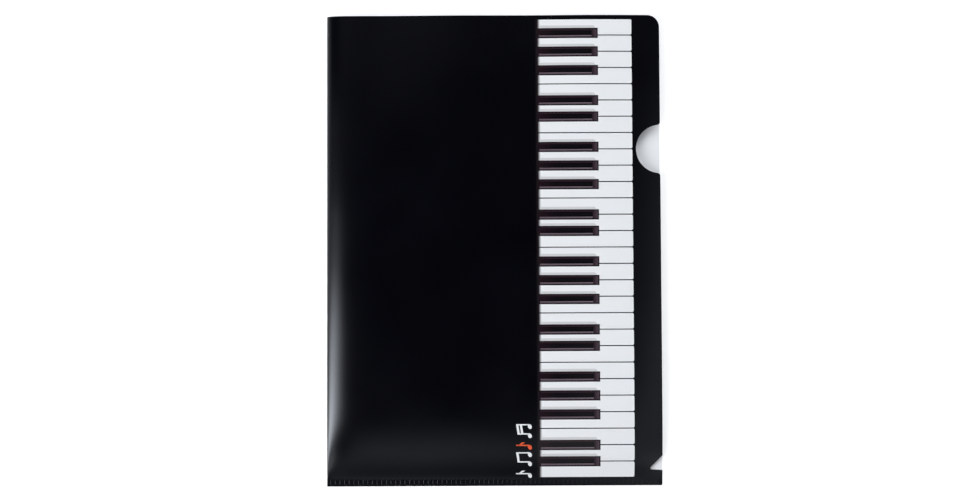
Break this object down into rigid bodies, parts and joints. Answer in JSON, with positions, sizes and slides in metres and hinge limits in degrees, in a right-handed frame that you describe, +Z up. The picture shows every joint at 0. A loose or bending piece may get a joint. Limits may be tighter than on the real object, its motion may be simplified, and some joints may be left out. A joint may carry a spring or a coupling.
{
  "type": "l-shaped document folder",
  "caption": "Document folder of plastic film, folded at the left and welded along the bottom, open at the top and right, with a thumb notch and a keyboard print.",
  "frame": {"origin": "middle of the back ply's outer face, which lies on the table", "axes": "+X from the folded side to the open side, +Y from the welded bottom to the open top, +Z up through the front ply"},
  "size_m": [0.22, 0.31, 0.0068],
  "materials": {
    "printed_film": "gloss"
  },
  "bodies": {
    "root": {"folder_sheet": "printed_film"}
  },
  "joints": []
}
